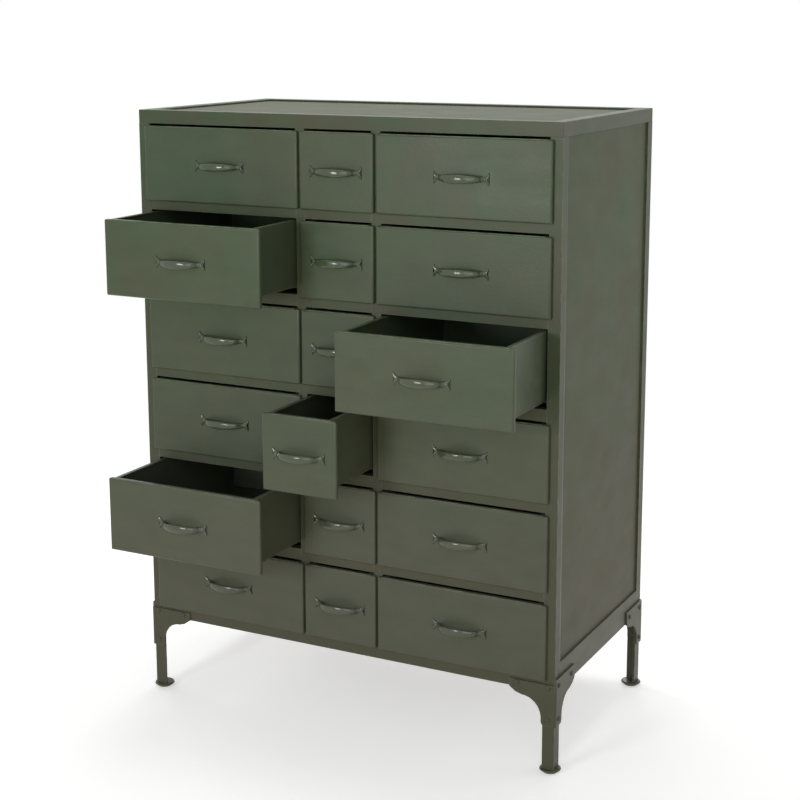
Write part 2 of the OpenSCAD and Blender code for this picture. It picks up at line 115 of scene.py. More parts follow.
floor_corners = [(x * floor_reach, y * floor_reach, 0)
                 for x, y in ((-1, -1), (1, -1), (1, 1), (-1, 1))]
floor_mesh = bpy.data.meshes.new("paper_floor")
floor_mesh.from_pydata(floor_corners, [], [(0, 1, 2, 3)])
floor_mesh.materials.append(paper)
floor = add_object("paper_floor", floor_mesh)

wall = bpy.data.worlds.new("white_wall")
bpy.context.scene.world = wall
wall.use_nodes = True
tree = wall.node_tree
tree.nodes.clear()
room_light = add_node(tree, "ShaderNodeMapRange", {
    "Value": seen_directly(tree), "To Min": wall_light, "To Max": 1.0})
sky = add_node(tree, "ShaderNodeBackground", {
    "Color": srgb("#FFFFFF"), "Strength": room_light.outputs[0]})
add_node(tree, "ShaderNodeOutputWorld", {"Surface": sky.outputs[0]})

for name, place, aim, size, watts in (
        ("front_lamp", (-0.62, -3.0, 1.17), (0.0, -0.15, 0.7), 0.7, 24.0),
        ("fill_lamp", (1.7, -3.4, 1.5), (0.0, -0.1, 0.7), 2.6, 36.0),
        ("side_lamp", (3.3, 1.6, 1.5), (0.4, 0.1, 0.7), 1.8, 18.0),
        ("left_lamp", (-3.3, 1.3, 1.4), (-0.4, 0.1, 0.7), 2.0, 34.0),
        ("back_lamp", (-0.7, 3.4, 0.65), (0.0, 0.2, 0.7), 1.1, 34.0),
        ("top_lamp", (-0.2, 0.9, 3.7), (0.0, 0.1, 1.2), 2.2, 46.0)):
    lamp_data = bpy.data.lights.new(name, "AREA")
    lamp_data.size = size
    lamp_data.energy = watts
    lamp = add_object(name, lamp_data)
    lamp.location = place
    lamp.rotation_euler = (Vector(aim) - Vector(place)).to_track_quat("-Z", "Y").to_euler()

# Camera: at chest height, 27 degrees round to the cabinet's right and 11 degrees down, with the
# shift that keeps the cabinet's uprights as near to parallel as its frame allows.
standpoint, focal_length, frame_shift = (1.534815, -2.850484, 1.438426), 72.615, -0.1
turn, tilt, roll = 0.478239, 0.18686, -0.002712
ahead = Vector((-math.sin(turn) * math.cos(tilt), math.cos(turn) * math.cos(tilt),
                -math.sin(tilt)))
right = Vector((math.cos(turn), math.sin(turn), 0))
above = right.cross(ahead)
across = math.cos(roll) * right + math.sin(roll) * above
upward = math.cos(roll) * above - math.sin(roll) * right
camera = add_object("camera", bpy.data.cameras.new("camera"))
camera.matrix_world = (Matrix.Translation(standpoint)
                       @ Matrix((across, upward, -ahead)).transposed().to_4x4())
camera.data.sensor_width = 36.0
camera.data.lens = focal_length
camera.data.shift_y = frame_shift
bpy.context.scene.camera = camera


# Frame: corner posts, top rim and base rails of 4 mm hot-rolled angle iron, cut, welded and ground
# flush, then sprayed. Rolled bar keeps a small radius on its outer edges, which catches the light.
def satin_enamel(name, paint, warm, floor_light_tint, wear_and_glint, wear_and_glint_reach, roughness, gloss, wave, skin):
    """Satin enamel sprayed over steel. It gives a grey-green that drifts to a warmer olive in
    patches a hand wide, with a soft sheen broken by faint waves in the steel and fine orange peel.
    Towards the floor it turns greyer and browner: a painted tint that stands in for the warm light
    the floor throws up. Its edges are painted lighter: partly rubbed wear, partly a painted
    highlight where rounded edges catch the light and on shaded narrow faces. wear_and_glint_reach
    is how far in from an edge the lightening reaches. gloss is the paint film's IOR: fresh gloss is
    1.5, and a film dulled by age is less. wave and skin are the depths of the waves and of the
    orange peel. Lengths are in metres."""
    patch_size, streak_size, chafe_size, wave_size, peel_size = 0.12, 0.07, 0.018, 0.16, 0.005
    floor_tint_begins, floor_tint_full = 0.95, 0.35
    made = bpy.data.materials.new(name)
    made.use_nodes = True
    tree = made.node_tree
    tree.nodes.clear()
    place = add_node(tree, "ShaderNodeTexCoord").outputs["Object"]
    patches = add_node(tree, "ShaderNodeTexNoise", {
        "Vector": place, "Scale": 1 / patch_size, "Detail": 2.0, "Roughness": 0.5})
    colour = add_node(tree, "ShaderNodeValToRGB", {"Fac": patches.outputs[0]})
    for stop, position, shade in zip(colour.color_ramp.elements, (0.36, 0.66), (paint, warm)):
        stop.position = position
        stop.color = srgb(shade)
    height = add_node(tree, "ShaderNodeSeparateXYZ", {0: place}).outputs["Z"]
    # Painted light: greyer and browner towards the floor, a tint that stands in for the warm light
    # the floor throws up on the lower parts
    floor_tint_share = add_node(tree, "ShaderNodeMapRange", {
        "Value": height, "From Min": floor_tint_begins, "From Max": floor_tint_full})
    floor_tinted = add_node(tree, "ShaderNodeMix", {
        0: floor_tint_share.outputs[0], 6: colour.outputs["Color"], 7: srgb(floor_light_tint)}, data_type="RGBA")
    drawn_out = add_node(tree, "ShaderNodeMapping", {"Vector": place, "Scale": (1, 1, 2)})
    streaks = add_node(tree, "ShaderNodeTexNoise", {
        "Vector": drawn_out.outputs[0], "Scale": 1 / streak_size, "Detail": 4.0,
        "Roughness": 0.6})
    streak_tone = add_node(tree, "ShaderNodeMapRange", {
        "Value": streaks.outputs[0], "From Min": 0.3, "From Max": 0.7,
        "To Min": 0.93, "To Max": 1.06})
    streaked = add_node(tree, "ShaderNodeVectorMath", {
        0: floor_tinted.outputs[2], "Scale": streak_tone.outputs[0]}, operation="SCALE")
    # An edge shows where the normal rounded off over the given width leaves the face's own. There
    # the paint is made lighter: partly rubbed wear, partly a painted highlight for the light that
    # rounded edges catch
    rounded = add_node(tree, "ShaderNodeBevel", {"Radius": wear_and_glint_reach}, samples=6)
    bend = add_node(tree, "ShaderNodeVectorMath", {
        0: rounded.outputs[0], 1: add_node(tree, "ShaderNodeNewGeometry").outputs["Normal"]},
        operation="DOT_PRODUCT")
    edge = add_node(tree, "ShaderNodeMapRange", {
        "Value": bend.outputs["Value"], "From Min": 0.99, "From Max": 0.82,
        "To Min": 0.0, "To Max": 0.8})
    chafe = add_node(tree, "ShaderNodeTexNoise", {
        "Vector": place, "Scale": 1 / chafe_size, "Detail": 3.0})
    chafed = add_node(tree, "ShaderNodeMapRange", {
        "Value": chafe.outputs[0], "From Min": 0.35, "From Max": 0.65})
    wear_and_glint_share = add_node(tree, "ShaderNodeMath", {0: edge.outputs[0], 1: chafed.outputs[0]},
                   operation="MULTIPLY")
    edge_lightened = add_node(tree, "ShaderNodeMix", {
        0: wear_and_glint_share.outputs[0], 6: streaked.outputs[0], 7: srgb(wear_and_glint)}, data_type="RGBA")
    sheen = add_node(tree, "ShaderNodeMapRange", {
        "Value": streaks.outputs[0], "From Min": 0.25, "From Max": 0.75,
        "To Min": roughness - 0.05, "To Max": roughness + 0.08})
    waves = add_node(tree, "ShaderNodeTexNoise", {
        "Vector": place, "Scale": 1 / wave_size, "Detail": 1.0})
    waved = add_node(tree, "ShaderNodeBump", {"Height": waves.outputs[0], "Distance": wave})
    # Orange peel is 2 mm across; it is drawn at 5 mm, so that it still shows from across a room
    peel = add_node(tree, "ShaderNodeTexNoise", {
        "Vector": place, "Scale": 1 / peel_size, "Detail": 3.0})
    peeled = add_node(tree, "ShaderNodeBump", {
        "Height": peel.outputs[0], "Distance": skin, "Normal": waved.outputs[0]})
    paint_film = add_node(tree, "ShaderNodeBsdfPrincipled", {
        "Base Color": edge_lightened.outputs[2], "Roughness": sheen.outputs[0], "IOR": gloss,
        "Normal": peeled.outputs[0]})
    add_node(tree, "ShaderNodeOutputMaterial", {"Surface": paint_film.outputs[0]})
    return made


def round_edges(piece, radius):
    """Joins a CAD piece's loose triangles and gives its edges the small radius of real steel."""
    piece.modifiers.new("joined", "WELD").merge_threshold = 1e-5
    flat = piece.modifiers.new("whole_faces", "DECIMATE")
    flat.decimate_type = "DISSOLVE"
    flat.angle_limit = math.radians(0.5)
    bevel = piece.modifiers.new("rolled_edges", "BEVEL")
    bevel.width = radius
    bevel.segments = 2
    bevel.limit_method = "ANGLE"
    bevel.angle_limit = math.radians(35)
    bevel.harden_normals = True


def finish_with(piece, material):
    piece.data.materials.clear()
    piece.data.materials.append(material)


corners = ("fl", "fr", "rl", "rr")
# Its edges take a pale colour: partly rubbed wear, partly a painted highlight along the rounded
# corners of the angle iron
frame_enamel = satin_enamel(
    "frame_satin_enamel", paint="#46553F", warm="#4D503E", floor_light_tint="#4E5042", wear_and_glint="#8A8A76",
    wear_and_glint_reach=0.0026, roughness=0.4, gloss=1.32, wave=0.0006, skin=0.00012)
for name in ["top_rim", "base_rails"] + ["corner_post_" + corner for corner in corners]:
    finish_with(node[name], frame_enamel)
    round_edges(node[name], 0.001)

# Case: cold-rolled sheet, welded inside the angle iron so that it lies 4 mm deep, with folded
# partitions and rails round the drawer openings. Thin sheet buckles a little, so its sheen wavers.
case_enamel = satin_enamel(
    "case_satin_enamel", paint="#445639", warm="#494E35", floor_light_tint="#4C4B38", wear_and_glint="#6F7262",
    wear_and_glint_reach=0.0016, roughness=0.45, gloss=1.28, wave=0.0022, skin=0.00012)
for name in ("side_panel_left", "side_panel_right", "back_panel", "bottom_panel"):
    finish_with(node[name], case_enamel)
# Things put down on the top have dulled its paint
finish_with(node["top_panel"], satin_enamel(
    "top_worn_enamel", paint="#4A513B", warm="#4E4F3C", floor_light_tint="#4E4F3C", wear_and_glint="#74776A",
    wear_and_glint_reach=0.0016, roughness=0.55, gloss=1.36, wave=0.0014, skin=0.00012))
for name in ("partition_left", "partition_right", "front_rails"):
    finish_with(node[name], frame_enamel)
    round_edges(node[name], 0.0006)

# Runners: 2 mm folded steel welded to the partitions and sides, in the case's green but drawn much
# darker, as painted shade for the dark inside of the case. The boxes slide on their shelves and
# have dulled the paint.
runner_enamel = satin_enamel(
    "runner_dull_shaded_enamel", paint="#30372A", warm="#35362B", floor_light_tint="#35362B", wear_and_glint="#56584C",
    wear_and_glint_reach=0.0016, roughness=0.55, gloss=1.3, wave=0.0004, skin=0.00008)
for name in ("runners_left", "runners_middle", "runners_right"):
    finish_with(node[name], runner_enamel)

# Corner brackets: 4 mm plate cut out, folded round each leg and riveted over the joint of leg and
# rails. Sheared edges are duller and rounder than rolled ones.
for corner in corners:
    finish_with(node["corner_bracket_" + corner], frame_enamel)
    round_edges(node["corner_bracket_" + corner], 0.0009)

# Bracket rivets: round-head steel rivets, three to each flange, hammered hot through bracket and
# leg and painted over with the frame. Heads and tails are domes, pressed from one tree's ball.
case_width, case_depth, case_bottom = 0.930, 0.490, 0.166
front_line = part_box("corner_post_fl")[0].y
bracket_plate, leg_plate, case_sheet = 0.004, 0.004, 0.0012
bracket_head_radius, bracket_head_height, bracket_shank_radius = 0.005, 0.0032, 0.0025
tail_height = 0.0012
# Each rivet's reach from the leg's corner and its level over the case's bottom, for each flange
rivet_levels = {"front": ((0.0125, 0.0105), (0.077, 0.0105), (0.0125, -0.055)),
                "side": ((0.0125, 0.013), (0.077, 0.013), (0.0125, -0.055))}

rivet_tree = bpy.data.node_groups.new("round_head_rivets", "GeometryNodeTree")
rivet_tree.is_modifier = True
for name, kind in (("Places", "NodeSocketGeometry"), ("Head radius", "NodeSocketFloat"),
                   ("Head height", "NodeSocketFloat"), ("Shank radius", "NodeSocketFloat"),
                   ("Tail height", "NodeSocketFloat"), ("Grip", "NodeSocketFloat"),
                   ("Paint", "NodeSocketMaterial")):
    rivet_tree.interface.new_socket(name, in_out="INPUT", socket_type=kind)
rivet_tree.interface.new_socket("Rivets", in_out="OUTPUT", socket_type="NodeSocketGeometry")
given = add_node(rivet_tree, "NodeGroupInput").outputs
head_size = add_node(rivet_tree, "ShaderNodeCombineXYZ", {
    "X": given["Head radius"], "Y": given["Head radius"], "Z": given["Head height"]})
ball = add_node(rivet_tree, "GeometryNodeMeshUVSphere", {
    "Segments": 20, "Rings": 14, "Radius": 1.0})
# A dome hammered a little flat on top: the ball's lower half is pressed into the plane
point = add_node(rivet_tree, "ShaderNodeSeparateXYZ",
                 {0: add_node(rivet_tree, "GeometryNodeInputPosition").outputs[0]})
crown = add_node(rivet_tree, "ShaderNodeMath", {0: point.outputs["Z"], 1: 0.0},
                 operation="MAXIMUM")
crown = add_node(rivet_tree, "ShaderNodeMath", {0: crown.outputs[0], 1: 0.85}, operation="POWER")
pressed = add_node(rivet_tree, "ShaderNodeCombineXYZ", {
    "X": point.outputs["X"], "Y": point.outputs["Y"], "Z": crown.outputs[0]})
dome = add_node(rivet_tree, "GeometryNodeSetPosition", {
    "Geometry": ball.outputs["Mesh"], "Position": pressed.outputs[0]})
head = add_node(rivet_tree, "GeometryNodeTransform", {
    "Geometry": dome.outputs[0], "Scale": head_size.outputs[0]})
# The closed end: the same dome, smaller and facing the other way, at the far end of the grip
far_end = add_node(rivet_tree, "ShaderNodeMath", {0: given["Grip"], 1: -1.0},
                   operation="MULTIPLY")
tail_place = add_node(rivet_tree, "ShaderNodeCombineXYZ", {"Z": far_end.outputs[0]})
tail_radius = add_node(rivet_tree, "ShaderNodeMath", {
    0: given["Head radius"], 1: given["Shank radius"]}, operation="ADD")
tail_radius = add_node(rivet_tree, "ShaderNodeMath", {0: tail_radius.outputs[0], 1: 0.5},
                       operation="MULTIPLY")
tail_size = add_node(rivet_tree, "ShaderNodeCombineXYZ", {
    "X": tail_radius.outputs[0], "Y": tail_radius.outputs[0], "Z": given["Tail height"]})
tail = add_node(rivet_tree, "GeometryNodeTransform", {
    "Geometry": dome.outputs[0], "Translation": tail_place.outputs[0],
    "Rotation": (math.pi, 0, 0), "Scale": tail_size.outputs[0]})
shank = add_node(rivet_tree, "GeometryNodeMeshCylinder", {
    "Vertices": 16, "Radius": given["Shank radius"], "Depth": given["Grip"]})
shank_place = add_node(rivet_tree, "ShaderNodeVectorMath", {
    0: tail_place.outputs[0], "Scale": 0.5}, operation="SCALE")
shank = add_node(rivet_tree, "GeometryNodeTransform", {
    "Geometry": shank.outputs["Mesh"], "Translation": shank_place.outputs[0]})
one_rivet = add_node(rivet_tree, "GeometryNodeJoinGeometry", {"Geometry": head.outputs[0]})
for part in (tail, shank):
    rivet_tree.links.new(part.outputs[0], one_rivet.inputs[0])
facing = add_node(rivet_tree, "GeometryNodeInputNamedAttribute", {"Name": "facing"},
                  data_type="FLOAT_VECTOR")
turned = add_node(rivet_tree, "FunctionNodeAlignRotationToVector", {"Vector": facing.outputs[0]},
                  axis="Z")
rivets = add_node(rivet_tree, "GeometryNodeInstanceOnPoints", {
    "Points": given["Places"], "Instance": one_rivet.outputs[0], "Rotation": turned.outputs[0]})
rivets = add_node(rivet_tree, "GeometryNodeRealizeInstances", {0: rivets.outputs[0]})
rivets = add_node(rivet_tree, "GeometryNodeSetShadeSmooth", {"Geometry": rivets.outputs[0]})
rivets = add_node(rivet_tree, "GeometryNodeSetMaterial", {
    "Geometry": rivets.outputs[0], "Material": given["Paint"]})
add_node(rivet_tree, "NodeGroupOutput", {0: rivets.outputs[0]})


def grow(tree, base, values, name):
    """The plain mesh that a Geometry Nodes tree makes on a base object with these named inputs."""
    modifier = base.modifiers.new(name, "NODES")
    modifier.node_group = tree
    for item in tree.interface.items_tree:
        if item.in_out == "INPUT" and item.name in values:
            modifier[item.identifier] = values[item.name]
    base.update_tag()
    shaped = base.evaluated_get(bpy.context.evaluated_depsgraph_get())
    mesh = bpy.data.meshes.new_from_object(shaped)
    mesh.name = name
    base.modifiers.remove(modifier)
    return mesh


def points_facing(name, places, directions):
    """A base object of loose points, each with the direction that its rivet faces."""
    mesh = bpy.data.meshes.new(name)
    mesh.from_pydata(places, [], [])
    facing = mesh.attributes.new("facing", "FLOAT_VECTOR", "POINT")
    facing.data.foreach_set("vector", [v for direction in directions for v in direction])
    return add_object(name, mesh)


# The upper ones also go through the side and back sheets, so they are that much longer
bare, backed = ([], []), ([], [])
for right_side in (False, True):
    for rear in (False, True):
        for flange, levels in rivet_levels.items():
            for reach, level in levels:
                x, y = (reach, -bracket_plate) if flange == "front" else (-bracket_plate, reach)
                facing = (0, -1, 0) if flange == "front" else (-1, 0, 0)
                sign_x, sign_y = -1 if right_side else 1, -1 if rear else 1
                x = sign_x * (x - case_width / 2)
                y = sign_y * (y - case_depth / 2) + front_line + case_depth / 2
                through_sheet = level > 0 and (rear or flange == "side")
                places, directions = backed if through_sheet else bare
                places.append((x, y, case_bottom + level))
                directions.append((sign_x * facing[0], sign_y * facing[1], 0))
all_rivets = bmesh.new()
for (places, directions), sheet in ((bare, 0.0), (backed, case_sheet)):
    base = points_facing("rivet_places", places, directions)
    rivets_mesh = grow(rivet_tree, base, {
        "Head radius": bracket_head_radius, "Head height": bracket_head_height,
        "Shank radius": bracket_shank_radius, "Tail height": tail_height,
        "Grip": bracket_plate + leg_plate + sheet, "Paint": frame_enamel},
        "bracket_rivets_round_head")
    bpy.data.objects.remove(base)
    all_rivets.from_mesh(rivets_mesh)
all_rivets.to_mesh(rivets_mesh)
all_rivets.free()
bracket_rivets = add_object("bracket_rivets_round_head", rivets_mesh)
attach(bracket_rivets, "carcass")
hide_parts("bracket_rivets")

# Glides: pressed steel saucers under each leg that widen from a flat base to a rounded upper edge.
# They are painted with the frame and scuffed by the floor.
glide_enamel = satin_enamel(
    "glide_scuffed_enamel", paint="#3F4936", warm="#464637", floor_light_tint="#464839", wear_and_glint="#73776A",
    wear_and_glint_reach=0.0016, roughness=0.46, gloss=1.35, wave=0.0003, skin=0.0002)
finish_with(node["feet"], glide_enamel)

# Drawers: each front is a shallow pan of sheet with folded, rounded edges, spot-welded to a box of
# thin sheet whose upper edges are hemmed flat. They were sprayed apart from the frame, a little
# greener and smoother.
# The pans' edges and narrow side faces are painted lighter: partly rubbed wear, partly painted
# light that lifts the shade on their sides
drawer_enamel = satin_enamel(
    "drawer_satin_enamel", paint="#485943", warm="#4D5642", floor_light_tint="#54594C", wear_and_glint="#868B7B",
    wear_and_glint_reach=0.003, roughness=0.38, gloss=1.35, wave=0.0026, skin=0.0002)
grid = [(row, column) for row in range(1, 7) for column in range(1, 4)]
for row, column in grid:
    drawer = node[f"drawer_r{row}c{column}"]
    finish_with(drawer, drawer_enamel)
    round_edges(drawer, 0.0004)

# Handles: cast bow pulls with fishtail feet, each held by two small round-head rivets. Cast iron
# takes a thicker, glossier coat, so the bows carry a hard highlight and their feet glint.
handle_enamel = satin_enamel(
    "handle_gloss_enamel", paint="#455841", warm="#4B5540", floor_light_tint="#4F5446", wear_and_glint="#7A8170",
    wear_and_glint_reach=0.001, roughness=0.15, gloss=1.5, wave=0.0002, skin=0.0002)
bar_thickness, bar_height, waist_height, roundness = 0.0065, 0.016, 0.009, 0.9
crown_radius, crown_angle = 0.072, math.radians(24)
shoulder_radius, shoulder_angle = 0.020, math.radians(66)
instep_radius, handle_half = 0.011, 0.058
foot_spread, foot_thickness, foot_edge = 0.024, 0.003, 0.0011
notch_depth, ear_radius = 0.004, 0.0025
pin_head_radius, pin_head_height, pin_shank_radius = 0.0032, 0.002, 0.0018
pin_inset, pin_sink, front_sheet, box_sheet = 0.0085, 0.0003, 0.0015, 0.001
foot_middle = 0.4 * foot_thickness
crown_reach = (foot_middle + crown_radius * (1 - math.cos(crown_angle))
               + shoulder_radius * (math.cos(crown_angle) - math.cos(shoulder_angle))
               + instep_radius * (1 - math.cos(shoulder_angle)))


def along_arc(centre, radius, start, end, steps=8):
    """Points of the bow's middle line on one arc, from the middle outwards."""
    turns = [start + (end - start) * i / steps for i in range(1, steps + 1)]
    return [(centre[0] + radius * math.sin(t), centre[1] + radius * math.cos(t)) for t in turns]


crown_centre = (0.0, crown_reach - crown_radius)
shoulder_centre = (
    crown_centre[0] + (crown_radius - shoulder_radius) * math.sin(crown_angle),
    crown_centre[1] + (crown_radius - shoulder_radius) * math.cos(crown_angle))
instep_centre = (
    shoulder_centre[0] + (shoulder_radius + instep_radius) * math.sin(shoulder_angle),
    shoulder_centre[1] + (shoulder_radius + instep_radius) * math.cos(shoulder_angle))
flat_end = handle_half - foot_edge
half_line = ([(0.0, crown_reach)] + along_arc(crown_centre, crown_radius, 0, crown_angle)
             + along_arc(shoulder_centre, shoulder_radius, crown_angle, shoulder_angle)
             + along_arc(instep_centre, -instep_radius, shoulder_angle, 0)
             + [(instep_centre[0] + (flat_end - instep_centre[0]) * i / 6, foot_middle)
                for i in range(1, 7)]
             + [(flat_end + foot_edge * math.sin(math.radians(18 * i)), foot_middle)
                for i in range(1, 6)])
middle_line = [(-x, y) for x, y in reversed(half_line[1:])] + half_line
waist_place = instep_centre[0] - instep_radius / 2
flare_rise = (foot_spread - waist_height) / 2
flare_radius = ((handle_half - waist_place) ** 2 + flare_rise ** 2) / (2 * flare_rise)

bow_curve = bpy.data.curves.new("bow_middle_line", "CURVE")
bow_curve.dimensions = "3D"
spline = bow_curve.splines.new("POLY")
spline.points.add(len(middle_line) - 1)
for spot, (x, y) in zip(spline.points, middle_line):
    spot.co = (x, -y, 0, 1)

# The tree sweeps a rounded section along the bow's middle line. The section is lower at each
# waist, thins along the instep, flares into the fishtail's ears and is flattened where the foot
# lies on the drawer front. The foot's end is hollowed between the ears, and all its edges are
# rounded.
bow_tree = bpy.data.node_groups.new("bow_handle", "GeometryNodeTree")
bow_tree.is_modifier = True
for name, kind in (("Middle line", "NodeSocketGeometry"), ("Rivets", "NodeSocketObject"),
                   ("Thickness", "NodeSocketFloat"), ("Height", "NodeSocketFloat"),
                   ("Waist height", "NodeSocketFloat"), ("Waist place", "NodeSocketFloat"),
                   ("Instep length", "NodeSocketFloat"),
                   ("Foot half thickness", "NodeSocketFloat"),
                   ("Flare radius", "NodeSocketFloat"), ("Half length", "NodeSocketFloat"),
                   ("Notch depth", "NodeSocketFloat"), ("Ear radius", "NodeSocketFloat"),
                   ("Ear crest", "NodeSocketFloat"), ("Foot half spread", "NodeSocketFloat"),
                   ("Edge radius", "NodeSocketFloat"), ("Roundness", "NodeSocketFloat"),
                   ("Paint", "NodeSocketMaterial")):
    bow_tree.interface.new_socket(name, in_out="INPUT", socket_type=kind)
bow_tree.interface.new_socket("Handle", in_out="OUTPUT", socket_type="NodeSocketGeometry")
given = add_node(bow_tree, "NodeGroupInput").outputs
kept = add_node(bow_tree, "GeometryNodeCaptureAttribute", domain="POINT")
kept.capture_items.new("VECTOR", "Centre")
kept.capture_items.new("VECTOR", "Along")
for source, item in ((given["Middle line"], "Geometry"),
                     (add_node(bow_tree, "GeometryNodeInputPosition").outputs[0], "Centre"),
                     (add_node(bow_tree, "GeometryNodeInputTangent").outputs[0], "Along")):
    bow_tree.links.new(source, kept.inputs[item])
ring = add_node(bow_tree, "GeometryNodeCurvePrimitiveCircle", {
    "Resolution": 32, "Radius": 0.001}, mode="RADIUS")
tube = add_node(bow_tree, "GeometryNodeCurveToMesh", {
    "Curve": kept.outputs["Geometry"], "Profile Curve": ring.outputs["Curve"],
    "Fill Caps": True})
offset = add_node(bow_tree, "ShaderNodeVectorMath", {
    0: add_node(bow_tree, "GeometryNodeInputPosition").outputs[0], 1: kept.outputs["Centre"]},
    operation="SUBTRACT")
offset = add_node(bow_tree, "ShaderNodeVectorMath", {0: offset.outputs[0]},
                  operation="NORMALIZE")
outward = add_node(bow_tree, "ShaderNodeVectorMath", {0: kept.outputs["Along"], 1: (0, 0, 1)},
                   operation="CROSS_PRODUCT")
out_share = add_node(bow_tree, "ShaderNodeVectorMath", {
    0: offset.outputs[0], 1: outward.outputs[0]}, operation="DOT_PRODUCT")
up_share = add_node(bow_tree, "ShaderNodeSeparateXYZ", {0: offset.outputs[0]})
# A power below one squares the round section off a little
squared = []
for share in (out_share.outputs["Value"], up_share.outputs["Z"]):
    size = add_node(bow_tree, "ShaderNodeMath", {0: share}, operation="ABSOLUTE")
    size = add_node(bow_tree, "ShaderNodeMath", {0: size.outputs[0], 1: given["Roundness"]},
                    operation="POWER")
    side = add_node(bow_tree, "ShaderNodeMath", {0: share}, operation="SIGN")
    signed = add_node(bow_tree, "ShaderNodeMath", {0: size.outputs[0], 1: side.outputs[0]},
                      operation="MULTIPLY")
    squared.append(signed.outputs[0])
out_part, up_part = squared
centre = add_node(bow_tree, "ShaderNodeSeparateXYZ", {0: kept.outputs["Centre"]})
from_middle = add_node(bow_tree, "ShaderNodeMath", {0: centre.outputs["X"]},
                       operation="ABSOLUTE")
beyond = add_node(bow_tree, "ShaderNodeMath", {
    0: from_middle.outputs[0], 1: given["Waist place"]}, operation="SUBTRACT")
beyond = add_node(bow_tree, "ShaderNodeMath", {0: beyond.outputs[0], 1: 0.0},
                  operation="MAXIMUM")
# Half height between the waists: half the bar's height, less a share that grows with the square
share = add_node(bow_tree, "ShaderNodeMath", {
    0: from_middle.outputs[0], 1: given["Waist place"]}, operation="DIVIDE")
share = add_node(bow_tree, "ShaderNodeMath", {0: share.outputs[0], 1: 1.0}, operation="MINIMUM")
share = add_node(bow_tree, "ShaderNodeMath", {0: share.outputs[0], 1: share.outputs[0]},
                 operation="MULTIPLY")
slimming = add_node(bow_tree, "ShaderNodeMath", {
    0: given["Waist height"], 1: given["Height"]}, operation="SUBTRACT")
bar_full = add_node(bow_tree, "ShaderNodeMath", {
    0: slimming.outputs[0], 1: share.outputs[0], 2: given["Height"]}, operation="MULTIPLY_ADD")
bar_half = add_node(bow_tree, "ShaderNodeMath", {0: bar_full.outputs[0], 1: 0.5},
                    operation="MULTIPLY")
# Beyond each waist, the rise of the flare's arc
radius_squared = add_node(bow_tree, "ShaderNodeMath", {
    0: given["Flare radius"], 1: given["Flare radius"]}, operation="MULTIPLY")
beyond_squared = add_node(bow_tree, "ShaderNodeMath", {
    0: beyond.outputs[0], 1: beyond.outputs[0]}, operation="MULTIPLY")
chord = add_node(bow_tree, "ShaderNodeMath", {
    0: radius_squared.outputs[0], 1: beyond_squared.outputs[0]}, operation="SUBTRACT")
chord = add_node(bow_tree, "ShaderNodeMath", {0: chord.outputs[0]}, operation="SQRT")
flare = add_node(bow_tree, "ShaderNodeMath", {
    0: given["Flare radius"], 1: chord.outputs[0]}, operation="SUBTRACT")
half_height = add_node(bow_tree, "ShaderNodeMath", {
    0: bar_half.outputs[0], 1: flare.outputs[0]}, operation="ADD")
rise = add_node(bow_tree, "ShaderNodeMath", {0: half_height.outputs[0], 1: up_part},
                operation="MULTIPLY")
# Half thickness: the bar's as far as each waist, thinning along the instep to the flat foot's
bar_radius = add_node(bow_tree, "ShaderNodeMath", {0: given["Thickness"], 1: 0.5},
                      operation="MULTIPLY")
thinned = add_node(bow_tree, "ShaderNodeMapRange", {
    "Value": beyond.outputs[0], "From Max": given["Instep length"],
    "To Min": bar_radius.outputs[0], "To Max": given["Foot half thickness"]})
depth = add_node(bow_tree, "ShaderNodeMath", {0: thinned.outputs[0], 1: out_part},
                 operation="MULTIPLY")
spread = add_node(bow_tree, "ShaderNodeVectorMath", {
    0: outward.outputs[0], "Scale": depth.outputs[0]}, operation="SCALE")
# The foot's end: a smooth hollow between the ears' crests, and a quarter circle from crest to tip
foot_length = add_node(bow_tree, "ShaderNodeMath", {
    0: given["Half length"], 1: given["Waist place"]}, operation="SUBTRACT")
foot_share = add_node(bow_tree, "ShaderNodeMath", {
    0: beyond.outputs[0], 1: foot_length.outputs[0]}, operation="DIVIDE")
foot_share = add_node(bow_tree, "ShaderNodeMath", {0: foot_share.outputs[0], 1: 2.0},
                      operation="POWER")
level = add_node(bow_tree, "ShaderNodeMath", {0: up_part}, operation="ABSOLUTE")
level = add_node(bow_tree, "ShaderNodeMath", {
    0: level.outputs[0], 1: given["Foot half spread"]}, operation="MULTIPLY")
hollow = add_node(bow_tree, "ShaderNodeMapRange", {
    "Value": level.outputs[0], "From Max": given["Ear crest"], "To Max": math.pi})
hollow = add_node(bow_tree, "ShaderNodeMath", {0: hollow.outputs[0]}, operation="COSINE")
hollow = add_node(bow_tree, "ShaderNodeMapRange", {
    "Value": hollow.outputs[0], "From Min": -1.0, "To Max": given["Notch depth"]})
over_crest = add_node(bow_tree, "ShaderNodeMapRange", {
    "Value": level.outputs[0], "From Min": given["Ear crest"],
    "From Max": given["Foot half spread"]})
over_crest = add_node(bow_tree, "ShaderNodeMath", {
    0: over_crest.outputs[0], 1: over_crest.outputs[0]}, operation="MULTIPLY")
over_crest = add_node(bow_tree, "ShaderNodeMath", {0: 1.0, 1: over_crest.outputs[0]},
                      operation="SUBTRACT")
over_crest = add_node(bow_tree, "ShaderNodeMath", {0: over_crest.outputs[0]}, operation="SQRT")
turned_in = add_node(bow_tree, "ShaderNodeMath", {0: 1.0, 1: over_crest.outputs[0]},
                     operation="SUBTRACT")
notch = add_node(bow_tree, "ShaderNodeMath", {
    0: turned_in.outputs[0], 1: given["Ear radius"], 2: hollow.outputs[0]},
    operation="MULTIPLY_ADD")
notch = add_node(bow_tree, "ShaderNodeMath", {0: notch.outputs[0], 1: foot_share.outputs[0]},
                 operation="MULTIPLY")
